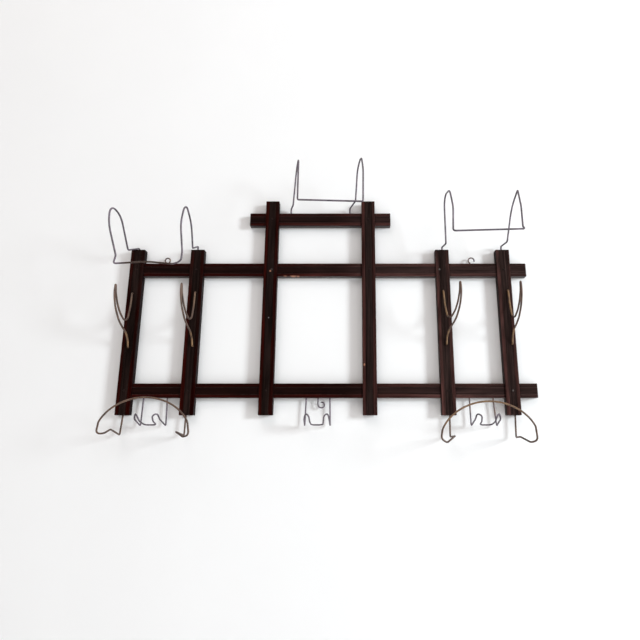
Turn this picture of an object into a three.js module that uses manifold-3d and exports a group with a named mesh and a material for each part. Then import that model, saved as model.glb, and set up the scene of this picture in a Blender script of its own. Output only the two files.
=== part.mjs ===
// Wall hat rack: a lattice of moulded wooden slats, halved together and nailed,
// that carries bent-wire hat holders, coat hooks and small hooks.
// Millimetres, +Z up, +Y towards the wall. The origin lies on the back of the middle rail,
// on the rail's centreline, halfway between the two centre stiles.
import * as THREE from 'three';
import { mergeVertices } from 'three/addons/utils/BufferGeometryUtils.js';
import Module from 'manifold-3d';

const wasm = await Module();
wasm.setup();

// Slat stock
const SLAT_WIDTH = 31.75;
const SLAT_DEPTH = 16;
const ARRIS = 1.2;            // chamfer along the two front edges
const GROOVE_SPACING = 15.5;  // between the two cut lines on the face
const GROOVE_WIDTH = 1.8;
const GROOVE_DEPTH = 0.9;

// Lattice, from centreline to centreline
const CENTRE_BAY = 229;
const INNER_BAY = 172.5;
const LEFT_BAY = 140;
const RIGHT_BAY = 142;
const TOP_RAIL_HEIGHT = 127;
const BOTTOM_RAIL_DROP = 280.5;

// How far a slat runs on past the edge of the last one that it crosses
const SIDE_HEAD = 33;
const CENTRE_HEAD = 30;
const FOOT = 37.5;
const TOP_RAIL_HORN = 37.5;
const MIDDLE_RAIL_HORN = 37;
const BOTTOM_RAIL_HORN = 40;

// Halved joints
const STILE_STAND = 3;        // stiles stand this far in front of the rails
const RAIL_TONGUE = 9.5;      // wood left in a rail behind a stile
const FIT = 0.3;              // clearance between pieces that touch
const OVERCUT = 1;            // how far a cutter stands out of what it cuts

// Nails
const NAIL_SHANK = 2.2;
const NAIL_HEAD = 5.4;
const NAIL_RIM_HEIGHT = 0.45;
const NAIL_CROWN = 3.2;       // across the top of the head, which rounds off towards the rim
const NAIL_CROWN_HEIGHT = 1;
const NAIL_HEAD_HEIGHT = 1.1;
const NAIL_BITE = 6;          // how deep a nail goes into the rail
const NAIL_SIDES = 8;

// Wires
const HOLDER_WIRE = 3.2;
const COAT_WIRE = 4;
const BRIM_WIRE = 3.2;
const CANE_WIRE = 3;
const SMALL_WIRE = 2.8;
const WIRE_SIDES = 8;
const BORE_SIDES = 12;
const BORE_DEPTH = 18;        // holes in edges and end grain
const FACE_BORE = 11;         // holes in the stiles' faces
const SMALL_BORE = 12;
const ARC_STEP = Math.PI / 5; // longest turn of a bend between two rings
const INNER_HOLE_SHIFT = 2;   // end-grain holes of the inner stiles lie this far outwards

// Places that follow from the sizes above
const HALF_SLAT = SLAT_WIDTH / 2;
const STILE_FRONT = -(STILE_STAND + SLAT_DEPTH);
const STILE_MIDDLE = -(STILE_STAND + SLAT_DEPTH / 2);
const RAIL_MIDDLE = -SLAT_DEPTH / 2;
const RAIL_FRONT = -SLAT_DEPTH;

const RAIL_Z = { top: TOP_RAIL_HEIGHT, middle: 0, bottom: -BOTTOM_RAIL_DROP };
const STILE_X = {
  outer_left: -CENTRE_BAY / 2 - INNER_BAY - LEFT_BAY,
  inner_left: -CENTRE_BAY / 2 - INNER_BAY,
  centre_left: -CENTRE_BAY / 2,
  centre_right: CENTRE_BAY / 2,
  inner_right: CENTRE_BAY / 2 + INNER_BAY,
  outer_right: CENTRE_BAY / 2 + INNER_BAY + RIGHT_BAY,
};
const SIDE_STILE_TOP = RAIL_Z.middle + HALF_SLAT + SIDE_HEAD;
const CENTRE_STILE_TOP = RAIL_Z.top + HALF_SLAT + CENTRE_HEAD;
const STILE_BOTTOM = RAIL_Z.bottom - HALF_SLAT - FOOT;
const TOP_RAIL_EDGE = RAIL_Z.top + HALF_SLAT;
const MIDDLE_RAIL_EDGE = RAIL_Z.middle + HALF_SLAT;
const BOTTOM_RAIL_EDGE = RAIL_Z.bottom - HALF_SLAT;

// Middles of the two side bays, where the small hooks are
const LEFT_BAY_X = (STILE_X.outer_left + STILE_X.inner_left) / 2;
const RIGHT_BAY_X = (STILE_X.inner_right + STILE_X.outer_right) / 2;

const isCentre = (name) => name.startsWith('centre');
const crosses = (rail, stile) => rail !== 'top' || isCentre(stile);

const rack = new THREE.Group();

const WOOD = { color: 0x2f1513, roughness: 0.42, metalness: 0 };
const WIRE = { color: 0x8c7663, roughness: 0.45, metalness: 0.85 };
const NAIL = { color: 0x8d8078, roughness: 0.5, metalness: 0.9 };

function place(name, geometry, finish) {
  const mesh = new THREE.Mesh(geometry, new THREE.MeshStandardMaterial(finish));
  mesh.name = name;
  rack.add(mesh);
}

// Booleans
function toSolid(geometry) {
  const plain = geometry.clone();
  plain.deleteAttribute('normal');
  plain.deleteAttribute('uv');
  const merged = mergeVertices(plain);
  return new wasm.Manifold(new wasm.Mesh({
    numProp: 3,
    vertProperties: new Float32Array(merged.attributes.position.array),
    triVerts: new Uint32Array(merged.index.array),
  }));
}

function cut(geometry, cutters) {
  let solid = toSolid(geometry);
  for (const cutter of cutters) {
    solid = solid.subtract(toSolid(cutter));
  }
  const mesh = solid.getMesh();
  const result = new THREE.BufferGeometry();
  result.setAttribute('position', new THREE.BufferAttribute(mesh.vertProperties, 3));
  result.setIndex(new THREE.BufferAttribute(mesh.triVerts, 1));
  result.computeVertexNormals();
  return result;
}

function block(x0, x1, y0, y1, z0, z1) {
  const box = new THREE.BoxGeometry(x1 - x0, y1 - y0, z1 - z0);
  return box.translate((x0 + x1) / 2, (y0 + y1) / 2, (z0 + z1) / 2);
}

// A round hole from a point on the surface, in the direction given, open at the surface
function bore(mouth, direction, diameter, depth) {
  const drill = new THREE.CylinderGeometry(diameter / 2, diameter / 2, depth + OVERCUT, BORE_SIDES);
  drill.translate(0, (depth - OVERCUT) / 2, 0);
  const turn = new THREE.Quaternion().setFromUnitVectors(new THREE.Vector3(0, 1, 0), direction);
  drill.applyQuaternion(turn);
  return drill.translate(mouth.x, mouth.y, mouth.z);
}

const UP = new THREE.Vector3(0, 0, 1);
const DOWN = new THREE.Vector3(0, 0, -1);
const INTO_WALL = new THREE.Vector3(0, 1, 0);
const boreFor = (wire) => wire + 2 * FIT;

// Slats: the section has two V grooves that frame a raised centre band
function slatGeometry(length) {
  const section = new THREE.Shape();
  const groove = (centre, side) => {
    section.lineTo(centre + side * GROOVE_WIDTH / 2, -SLAT_DEPTH);
    section.lineTo(centre, -SLAT_DEPTH + GROOVE_DEPTH);
    section.lineTo(centre - side * GROOVE_WIDTH / 2, -SLAT_DEPTH);
  };
  section.moveTo(-HALF_SLAT, 0);
  section.lineTo(-HALF_SLAT, -SLAT_DEPTH + ARRIS);
  section.lineTo(-HALF_SLAT + ARRIS, -SLAT_DEPTH);
  groove(-GROOVE_SPACING / 2, -1);
  groove(GROOVE_SPACING / 2, -1);
  section.lineTo(HALF_SLAT - ARRIS, -SLAT_DEPTH);
  section.lineTo(HALF_SLAT, -SLAT_DEPTH + ARRIS);
  section.lineTo(HALF_SLAT, 0);
  section.closePath();
  return new THREE.ExtrudeGeometry(section, { depth: length, bevelEnabled: false });
}

const NAIL_SHIFT = { centre_left: 3, centre_right: 2, inner_right: -8 };
const nailX = (rail, stile) => STILE_X[stile] + (rail === 'middle' ? NAIL_SHIFT[stile] ?? 0 : 0);

function addStile(name, holes) {
  const x = STILE_X[name];
  const top = isCentre(name) ? CENTRE_STILE_TOP : SIDE_STILE_TOP;
  const stile = slatGeometry(top - STILE_BOTTOM).translate(x, -STILE_STAND, STILE_BOTTOM);
  const across = HALF_SLAT + OVERCUT;
  const reach = HALF_SLAT + FIT;
  const cutters = [...holes];
  for (const [rail, z] of Object.entries(RAIL_Z)) {
    if (crosses(rail, name)) {
      cutters.push(block(x - across, x + across, -RAIL_TONGUE - FIT, OVERCUT, z - reach, z + reach));
      const mouth = new THREE.Vector3(nailX(rail, name), STILE_FRONT, z);
      cutters.push(bore(mouth, INTO_WALL, boreFor(NAIL_SHANK), SLAT_DEPTH));
    }
  }
  place(`stile_${name}`, cut(stile, cutters), WOOD);
}

function addRail(name, left, right, holes) {
  const z = RAIL_Z[name];
  const rail = slatGeometry(right - left).rotateY(Math.PI / 2).translate(left, 0, z);
  const reach = HALF_SLAT + FIT;
  const cutters = [...holes];
  for (const [stile, x] of Object.entries(STILE_X)) {
    if (crosses(name, stile)) {
      cutters.push(block(x - reach, x + reach, RAIL_FRONT - OVERCUT, -RAIL_TONGUE, z - reach, z + reach));
      const mouth = new THREE.Vector3(nailX(name, stile), -RAIL_TONGUE, z);
      cutters.push(bore(mouth, INTO_WALL, boreFor(NAIL_SHANK), NAIL_BITE + FIT));
    }
  }
  place(`rail_${name}`, cut(rail, cutters), WOOD);
}

function addNail(rail, stile) {
  const tip = STILE_FRONT + RAIL_TONGUE - NAIL_BITE;
  const profile = [
    [0, tip], [NAIL_SHANK / 2, tip + NAIL_SHANK], [NAIL_SHANK / 2, FIT], [NAIL_HEAD / 2, FIT],
    [NAIL_HEAD / 2, FIT + NAIL_RIM_HEIGHT], [NAIL_CROWN / 2, FIT + NAIL_CROWN_HEIGHT],
    [0, FIT + NAIL_HEAD_HEIGHT],
  ].map(([r, y]) => new THREE.Vector2(r, y));
  const nail = new THREE.LatheGeometry(profile, NAIL_SIDES).rotateX(Math.PI);
  nail.rotateY(Math.PI / NAIL_SIDES);
  nail.translate(nailX(rail, stile), STILE_FRONT, RAIL_Z[rail]);
  place(`nail_${rail}_${stile}`, nail, NAIL);
}

// Wires
// A wire is bent through corners. Each corner is [x, forward, z, radius of the bend];
// forward is measured from the plane of the wire's holes towards the room.
// A corner without a radius is a point on a smooth stretch.
class BentWire extends THREE.Curve {
  constructor(rings) {
    super();
    this.rings = rings;
  }

  getPoint(t, target = new THREE.Vector3()) {
    const along = t * (this.rings.length - 1);
    const index = Math.min(Math.floor(along), this.rings.length - 2);
    return target.lerpVectors(this.rings[index], this.rings[index + 1], along - index);
  }

  // Rings stay where the bends need them instead of being spaced evenly
  getUtoTmapping(u) {
    return u;
  }
}

// The rings of one bend: an arc that touches both straight stretches
function bendRings(before, corner, after, radius) {
  const arrive = corner.clone().sub(before).normalize();
  const leave = after.clone().sub(corner).normalize();
  const turn = arrive.angleTo(leave);
  const room = 0.48 * Math.min(corner.distanceTo(before), corner.distanceTo(after));
  const tangent = Math.min(radius * Math.tan(turn / 2), room);
  const bend = tangent / Math.tan(turn / 2);
  const start = corner.clone().addScaledVector(arrive, -tangent);
  const inward = leave.clone().addScaledVector(arrive, -leave.dot(arrive)).normalize();
  const centre = start.clone().addScaledVector(inward, bend);
  const steps = Math.ceil(turn / ARC_STEP);
  const rings = [];
  for (let step = 0; step <= steps; step += 1) {
    const angle = turn * step / steps;
    rings.push(centre.clone()
      .addScaledVector(inward, -bend * Math.cos(angle))
      .addScaledVector(arrive, bend * Math.sin(angle)));
  }
  return rings;
}

function addWire(name, diameter, holePlane, corners) {
  const points = corners.map(([x, forward, z]) => new THREE.Vector3(x, holePlane - forward, z));
  const rings = [points[0]];
  for (let i = 1; i < points.length - 1; i += 1) {
    const radius = corners[i][3];
    if (radius) {
      rings.push(...bendRings(points[i - 1], points[i], points[i + 1], radius));
    } else {
      rings.push(points[i]);
    }
  }
  rings.push(points.at(-1));
  const section = new THREE.Shape();
  for (let side = 0; side < WIRE_SIDES; side += 1) {
    const angle = 2 * Math.PI * (side + 0.5) / WIRE_SIDES;
    const point = [diameter / 2 * Math.cos(angle), diameter / 2 * Math.sin(angle)];
    if (side === 0) {
      section.moveTo(...point);
    } else {
      section.lineTo(...point);
    }
  }
  section.closePath();
  const options = { steps: rings.length - 1, bevelEnabled: false, extrudePath: new BentWire(rings) };
  place(name, new THREE.ExtrudeGeometry(section, options), WIRE);
}

const shift = (corners, x, z) => corners.map(([dx, f, dz, r]) => [x + dx, f, z + dz, r]);

// A wire whose two shanks stand in two holes: each side's corners run from its hole to the middle
function addTwoShankWire(name, diameter, holePlane, wire) {
  const { leftX, rightX, z, up, left, middle = [], right } = wire;
  const bottom = z - up * (BORE_DEPTH - 1);
  addWire(name, diameter, holePlane, [
    [leftX, 0, bottom],
    ...shift(left, leftX, z),
    ...middle,
    ...shift(right, rightX, z).reverse(),
    [rightX, 0, bottom],
  ]);
}

// Holes of the wires in the stiles' end grain
const HOLE_X = {
  outer_left: STILE_X.outer_left,
  inner_left: STILE_X.inner_left - INNER_HOLE_SHIFT,
  inner_right: STILE_X.inner_right + INNER_HOLE_SHIFT,
  outer_right: STILE_X.outer_right,
};
const BRIM_HOLE_X = { ...HOLE_X, outer_right: STILE_X.outer_right + 3.5 };

// Hat holders: each shank turns forward over a knee, rises into an ear and comes down to a bar
// that joins the two sides. Use has bent each one in its own way.
const CENTRE_HOLDER_SPAN = 142;
const HOLDERS = {
  left: {
    leftX: HOLE_X.outer_left, rightX: HOLE_X.inner_left, z: SIDE_STILE_TOP, up: 1,
    left: [
      [0, 0, 6, 2.5], [-11, 36, -12, 4], [-6.5, 97, 46, 60], [-9, 142, 49, 20],
      [-9, 142, 8, 150], [8, 129, -60, 6], [3.5, 127, -77, 3],
    ],
    right: [
      [0, 0, 11, 2.8], [3.5, 50, -13, 4], [8, 84, 32, 90], [10, 138, 58, 13],
      [3, 138, 10, 120], [8, 129, -51, 25], [6.5, 127, -72, 12], [-10, 127, -78, 15], [-62, 127, -73, 90],
    ],
  },
  centre: {
    leftX: -CENTRE_HOLDER_SPAN / 2, rightX: CENTRE_HOLDER_SPAN / 2, z: TOP_RAIL_EDGE, up: 1,
    left: [[0, 0, 15, 3], [8.5, 36, 7.5, 4], [17, 58, 88, 60], [24.5, 91, 99, 14], [27, 118, -20, 2.5]],
    right: [
      [0, 0, 16, 3], [13, 44, 14, 4], [17.5, 64, 86, 50], [25.5, 92, 102, 12],
      [29, 110, 60, 80], [28, 118, -24, 2.5],
    ],
  },
  right: {
    leftX: HOLE_X.inner_right, rightX: HOLE_X.outer_right, z: SIDE_STILE_TOP, up: 1,
    left: [
      [0, 0, 9, 3], [0, 48, -1, 4], [-3, 66, 108, 40], [-2, 122, 94, 22],
      [1, 134, 48, 80], [-2.5, 138, -8.5, 4],
    ],
    right: [
      [0, 0, 11, 3], [0, 47, 4, 4], [11.5, 60, 82, 60], [11, 108, 101, 3],
      [9.5, 124, 55, 90], [4.5, 137.5, 1, 2], [9, 139, -4.5, 2],
    ],
  },
};

// Coat hooks: one wire with both ends in the face of a stile. The side view is the same for all:
// it leaves the lower hole, swings out to a folded tip and returns through a U to the upper hole.
// Each is [forward of the face, height above the lower hole, radius of the bend].
const COAT_HOOK_HEIGHT = 126;
const COAT_HOOK_REACH = 84;
const COAT_HOOK_DROP = 180;   // from the middle rail down to the lower hole
const COAT_HOOK_START = 3;    // centreline of the wire in front of the stile's face, at both ends
const COAT_HOOK_SIDE = [
  [COAT_HOOK_START, 0, 2.8], [5, 15, 30], [20, 31, 25], [37, 38, 50], [57, 49, 50], [76, 71, 60],
  [88, 98, 50], [COAT_HOOK_REACH, 134, 2.6],
  [74, 93, 60], [53, 65, 50], [31, 55, 12], [15, 61.5, 13], [6, 93, 60],
  [COAT_HOOK_START, COAT_HOOK_HEIGHT, 2.8],
];
// Shift, tilt and lean are sideways: of the lower hole, of the upper hole past it, and of the tip
const COAT_HOOKS = {
  outer_left: { shift: 0, drop: 4, tilt: -2.6, lean: -0.7 },
  inner_left: { shift: 3.8, drop: 1.5, tilt: -2, lean: -4.2 },
  inner_right: { shift: 1, drop: -2.5, tilt: -2.4, lean: 20.5 },
  outer_right: { shift: 6.6, drop: -3, tilt: -1, lean: 0.7 },
};

// Brim holders under the stiles' feet: the shanks turn forward and an arch joins them.
// An arch reaches past both shanks by its overhang and springs from below the feet.
const BRIM_REACH = 90;
const ARCH_POINTS = 12;
const ARCH_SHOULDER = 1.2;    // above 1 the arch's shoulders fall away faster than an ellipse's
const BRIM_HOLDERS = {
  left: {
    leftX: BRIM_HOLE_X.outer_left, rightX: BRIM_HOLE_X.inner_left, z: STILE_BOTTOM, up: -1,
    left: [[0, 0, -1], [-3, 0, -42, 3], [3, 58, -31, 15], [3, 86, -39.5, 8], [-11, 90, -40, 10]],
    right: [[0, 0, -1], [-1, 0, -43, 3], [-2, 52, -36, 4], [22, 80, -46, 10], [37, 90, -43, 9]],
    arch: { shift: 12, overhang: 23.7, spring: -30, rise: 62, skew: 0 },
  },
  right: {
    leftX: BRIM_HOLE_X.inner_right, rightX: BRIM_HOLE_X.outer_right, z: STILE_BOTTOM, up: -1,
    left: [[0, 0, -1], [-1, 0, -46, 3], [-0.5, 47, -44.5, 3.5], [-24, 82, -57.5, 9], [-37, 88, -50, 10]],
    right: [[0, 0, -1], [-1.5, 0, -47, 3], [-6, 42, -46, 10], [0.5, 82, -57, 8], [12.5, 88, -53, 10]],
    arch: { shift: -12, overhang: 25, spring: -42, rise: 66, skew: 3 },
  },
};

// Half an oval over the two shanks. Its ends are left to the bends at the springs.
function archCorners({ leftX, rightX, z, arch }) {
  const middle = (leftX + rightX) / 2 + arch.shift;
  const halfSpan = (rightX - leftX) / 2 + arch.overhang;
  const corners = [];
  for (let step = 1; step < ARCH_POINTS; step += 1) {
    const angle = Math.PI * (1 - step / ARCH_POINTS);
    const lift = arch.spring + arch.rise * Math.sin(angle) ** ARCH_SHOULDER + arch.skew * Math.cos(angle);
    corners.push([middle + halfSpan * Math.cos(angle), BRIM_REACH, z + lift]);
  }
  return corners;
}

// Double hooks under the bottom rail: two shanks, each folded into a small nose, joined by a bar
const CANE_HOOKS = {
  left: { x: LEFT_BAY_X - 3, lean: 0 },
  centre: { x: 0, lean: -0.7 },
  right: { x: RIGHT_BAY_X + 3, lean: 2.5 },
};
const CANE_HOOK_SPAN = 52.5;
const CANE_HOOK_DROP = 60;
const CANE_HOOK_SIDE = [
  [0, 0, -1], [-1.5, 0, -CANE_HOOK_DROP, 2.4], [-0.5, 38, -47, 10], [2.5, 44, -35.5, 6],
  [11, 54, -40, 7], [12.5, 44, -51, 9], [14, 15, -58, 3],
];

// Small wires, flat in the plane of the rails: a neck stands in the rail's edge and ends in a ring,
// whose centre is given from the neck's foot, with its radii at both ends and its turn in degrees
const SMALL_WIRES = {
  hanging_eye_left: {
    x: LEFT_BAY_X - 3, edge: MIDDLE_RAIL_EDGE, up: 1, neck: 1,
    centre: [0.5, 9.5], radii: [6, 6], start: 250, sweep: -310,
  },
  hanging_crook_right: {
    x: RIGHT_BAY_X - 3.5, edge: MIDDLE_RAIL_EDGE, up: 1, neck: 1.5,
    centre: [2.8, 9.3], radii: [7, 7], start: 195, sweep: -218,
  },
  scroll_hook: {
    x: 0, edge: BOTTOM_RAIL_EDGE, up: -1, neck: 11,
    centre: [8.2, 14], radii: [8.2, 4.6], start: 180, sweep: 300,
  },
};
const RING_STEPS = 14;

function ringCorners({ x, edge, up, centre, radii, start, sweep }) {
  const corners = [];
  for (let step = 0; step <= RING_STEPS; step += 1) {
    const part = step / RING_STEPS;
    const angle = THREE.MathUtils.degToRad(start + sweep * part);
    const radius = THREE.MathUtils.lerp(...radii, part);
    corners.push([
      x + centre[0] + radius * Math.cos(angle), 0, edge + up * centre[1] + radius * Math.sin(angle)]);
  }
  return corners;
}

function addSmallWire(name, wire) {
  const { x, edge, up, neck } = wire;
  const foot = [x, 0, edge - up * (SMALL_BORE - 1)];
  addWire(name, SMALL_WIRE, RAIL_MIDDLE, [foot, [x, 0, edge + up * neck], ...ringCorners(wire)]);
}

// The two holes of a coat hook in its stile's face, the lower one first
function coatHookEnds(stile) {
  const { shift: sideways, drop, tilt } = COAT_HOOKS[stile];
  const x = STILE_X[stile] + sideways;
  const z = RAIL_Z.middle - COAT_HOOK_DROP - drop;
  return [[x, z], [x + tilt, z + COAT_HOOK_HEIGHT]];
}

function addCoatHook(stile) {
  const { tilt, lean } = COAT_HOOKS[stile];
  const [[x, z], [upperX, upperZ]] = coatHookEnds(stile);
  const slant = lean / (COAT_HOOK_REACH - COAT_HOOK_START);
  const side = COAT_HOOK_SIDE.map(([f, up, r]) => (
    [x + tilt * up / COAT_HOOK_HEIGHT + slant * (f - COAT_HOOK_START), f, z + up, r]));
  const end = 1 - FACE_BORE;
  addWire(`coat_hook_${stile}`, COAT_WIRE, STILE_FRONT, [[x, end, z], ...side, [upperX, end, upperZ]]);
}

function addCaneHook(name, { x, lean }) {
  const inwards = (side) => CANE_HOOK_SIDE.map(([i, f, z, r]) => (
    [side * i - lean * z / CANE_HOOK_DROP, f, z, r]));
  addTwoShankWire(`cane_hook_${name}`, CANE_WIRE, RAIL_MIDDLE, {
    leftX: x - CANE_HOOK_SPAN / 2, rightX: x + CANE_HOOK_SPAN / 2, z: BOTTOM_RAIL_EDGE, up: -1,
    left: inwards(1), right: inwards(-1),
  });
}

// Bores that the wires stand in
const bored = (x, y, z, direction, wire, depth) => (
  bore(new THREE.Vector3(x, y, z), direction, boreFor(wire), depth));

for (const name of Object.keys(STILE_X)) {
  const holes = [];
  if (!isCentre(name)) {
    for (const [x, z] of coatHookEnds(name)) {
      holes.push(bored(x, STILE_FRONT, z, INTO_WALL, COAT_WIRE, FACE_BORE));
    }
    holes.push(bored(HOLE_X[name], STILE_MIDDLE, SIDE_STILE_TOP, DOWN, HOLDER_WIRE, BORE_DEPTH));
    holes.push(bored(BRIM_HOLE_X[name], STILE_MIDDLE, STILE_BOTTOM, UP, BRIM_WIRE, BORE_DEPTH));
  }
  addStile(name, holes);
}

const RACK_LEFT = STILE_X.outer_left - HALF_SLAT;
const RIGHT_STILE_EDGE = STILE_X.outer_right + HALF_SLAT;
const topRailHoles = [-1, 1].map((side) => (
  bored(side * CENTRE_HOLDER_SPAN / 2, RAIL_MIDDLE, TOP_RAIL_EDGE, DOWN, HOLDER_WIRE, BORE_DEPTH)));
const smallHole = ({ x, edge, up }) => (
  bored(x, RAIL_MIDDLE, edge, up > 0 ? DOWN : UP, SMALL_WIRE, SMALL_BORE));
const crookHoles = [smallHole(SMALL_WIRES.hanging_eye_left), smallHole(SMALL_WIRES.hanging_crook_right)];
const caneHoles = Object.values(CANE_HOOKS).flatMap(({ x }) => [-1, 1].map((side) => (
  bored(x + side * CANE_HOOK_SPAN / 2, RAIL_MIDDLE, BOTTOM_RAIL_EDGE, UP, CANE_WIRE, BORE_DEPTH))));
addRail('top', STILE_X.centre_left - HALF_SLAT - TOP_RAIL_HORN,
  STILE_X.centre_right + HALF_SLAT + TOP_RAIL_HORN, topRailHoles);
addRail('middle', RACK_LEFT, RIGHT_STILE_EDGE + MIDDLE_RAIL_HORN, crookHoles);
addRail('bottom', RACK_LEFT, RIGHT_STILE_EDGE + BOTTOM_RAIL_HORN, [
  ...caneHoles, smallHole(SMALL_WIRES.scroll_hook),
]);

for (const rail of Object.keys(RAIL_Z)) {
  for (const stile of Object.keys(STILE_X)) {
    if (crosses(rail, stile)) {
      addNail(rail, stile);
    }
  }
}

for (const [name, holder] of Object.entries(HOLDERS)) {
  const plane = name === 'centre' ? RAIL_MIDDLE : STILE_MIDDLE;
  addTwoShankWire(`hat_holder_${name}`, HOLDER_WIRE, plane, holder);
}
for (const stile of Object.keys(COAT_HOOKS)) {
  addCoatHook(stile);
}
for (const [name, holder] of Object.entries(BRIM_HOLDERS)) {
  const middle = archCorners(holder);
  addTwoShankWire(`brim_holder_${name}`, BRIM_WIRE, STILE_MIDDLE, { ...holder, middle });
}
for (const [name, hook] of Object.entries(CANE_HOOKS)) {
  addCaneHook(name, hook);
}
for (const [name, wire] of Object.entries(SMALL_WIRES)) {
  addSmallWire(name, wire);
}

export default rack;
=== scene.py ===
"""Wall hat rack: moulded slats in a lattice, nailed at the crossings, with bent-wire holders.

Metres, +Z up, +Y towards the wall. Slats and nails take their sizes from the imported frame. Wires
follow their own bends, given corner by corner.
"""

import math
from typing import NamedTuple

import bmesh
import bpy
from bpy.props import FloatProperty, FloatVectorProperty, IntProperty, PointerProperty
from mathutils import Matrix, Vector, noise


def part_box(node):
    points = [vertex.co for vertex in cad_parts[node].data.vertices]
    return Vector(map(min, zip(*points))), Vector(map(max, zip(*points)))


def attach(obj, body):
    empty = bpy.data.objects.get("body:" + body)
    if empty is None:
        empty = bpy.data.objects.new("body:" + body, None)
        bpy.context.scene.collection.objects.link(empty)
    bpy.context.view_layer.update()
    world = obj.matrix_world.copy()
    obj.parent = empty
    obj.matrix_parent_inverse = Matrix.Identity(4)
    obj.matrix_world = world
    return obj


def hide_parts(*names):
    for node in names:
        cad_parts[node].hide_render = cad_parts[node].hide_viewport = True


bl_info = {
    "name": "Wall Hat Rack",
    "version": (1, 0, 0),
    "blender": (4, 5, 0),
    "location": "View3D > Sidebar > Hat Rack",
    "description": "Dresses a wall hat rack: grooved slats, nails and bent wires, before a wall",
    "category": "Add Mesh",
}

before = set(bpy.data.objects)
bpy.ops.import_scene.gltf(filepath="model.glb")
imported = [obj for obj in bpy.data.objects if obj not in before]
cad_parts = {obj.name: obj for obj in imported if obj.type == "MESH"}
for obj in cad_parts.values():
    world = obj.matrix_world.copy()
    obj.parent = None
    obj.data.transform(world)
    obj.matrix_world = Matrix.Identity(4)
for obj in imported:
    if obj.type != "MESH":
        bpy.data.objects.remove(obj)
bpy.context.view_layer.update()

STILES, RAILS, NAILS = ([name for name in sorted(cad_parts) if name.startswith(kind)]
                        for kind in ("stile_", "rail_", "nail_"))

RAIL_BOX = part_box("rail_middle")
STILE_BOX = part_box("stile_inner_left")
SLAT_WIDTH = RAIL_BOX[1].z - RAIL_BOX[0].z
RAIL_FACE = RAIL_BOX[0].y
STILE_FACE = STILE_BOX[0].y
SLAT_THICKNESS = -RAIL_FACE

# Wires stand in holes in the middle of a slat's thickness
RAIL_MIDDLE = RAIL_FACE / 2
STILE_MIDDLE = STILE_FACE + SLAT_THICKNESS / 2

# Halved joints: wood left in a rail behind a stile, the clearance round it, and how far a cut
# runs out past the wood
RAIL_TONGUE = 0.0095
FIT = 0.0003
OVERCUT = 0.001

HALF_TURN = math.pi


def middle_x(node):
    low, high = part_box(node)
    return (low.x + high.x) / 2


# Settings


def metres(name, description, default, low, high):
    """A size in metres that may be changed between two limits."""
    return FloatProperty(name=name, description=description, default=default, min=low, max=high,
                         unit="LENGTH")


def tint(name, description, default, brightest=1.0):
    """A colour in linear values."""
    return FloatVectorProperty(name=name, description=description, default=default, size=3,
                               subtype="COLOR", max=brightest)


def factor(name, description, default):
    return FloatProperty(name=name, description=description, default=default, min=0.0, max=1.0,
                         subtype="FACTOR")


def amount(name, description, default):
    return FloatProperty(name=name, description=description, default=default)


class HatRackWood(bpy.types.PropertyGroup):
    groove_spacing: metres(
        "Groove spacing", "Distance between the two lines cut along a slat's face",
        0.0155, 0.008, 0.024)
    groove_width: metres("Groove width", "Width of a cut line at the face", 0.0017, 0.0005, 0.003)
    groove_depth: metres("Groove depth", "Depth of a cut line", 0.0009, 0.0002, 0.002)
    arris: metres("Arris", "Radius of the eased front edges", 0.0012, 0.0002, 0.003)
    centre_colour: tint(
        "Centre band", "Stain along the middle of a slat, nearly black", (0.0080, 0.0024, 0.0019))
    edge_colour: tint(
        "Edge bands", "Redder stain outside the cut lines", (0.0160, 0.0018, 0.0012))
    # Painted window sheen: the bands are painted lighter and greyer towards the right, where the
    # window's light shines on the finish
    painted_sheen_centre: tint(
        "Faded centre band", "The middle of a slat where daylight has bleached the stain",
        (0.0225, 0.0120, 0.0110))
    painted_sheen_edge: tint(
        "Faded edge bands", "The bands outside the cut lines where the stain is bleached",
        (0.0460, 0.0200, 0.0176))
    bloom_colour: tint(
        "Bloom", "Grey haze in the old finish, strongest along the middle of a stile",
        (0.0150, 0.0105, 0.0092))
    # Painted shade: the narrow sides are painted darker than the face, so they read unlit where the
    # lamps shine on them
    side_shade_colour: tint("Sides", "Stain on the narrow sides of a slat", (0.0042, 0.0014, 0.0018))
    back_colour: tint(
        "Backs", "Old wood of the backs, which were never stained", (0.075, 0.040, 0.023))
    # Pale grain lines, shown only where the window sheen is painted
    pale_line_colour: tint(
        "Pale lines", "Thin lines along the grain where the stain is bleached most",
        (0.068, 0.042, 0.037))
    bare_colour: tint("Bare wood", "Wood where the finish is chipped off", (0.40, 0.19, 0.12))
    fleck_colour: tint("Fleck", "Plaster or paint on the finish", (0.24, 0.23, 0.24))
    dust_colour: tint("Dust", "Dust on what faces up", (0.16, 0.14, 0.12))
    dull_gloss: factor("Gloss straight on", "Specular level of the finish seen straight on", 0.02)
    low_angle_gloss: factor(
        "Gloss at a low angle", "Specular level of the finish seen along the surface", 0.60)


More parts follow.
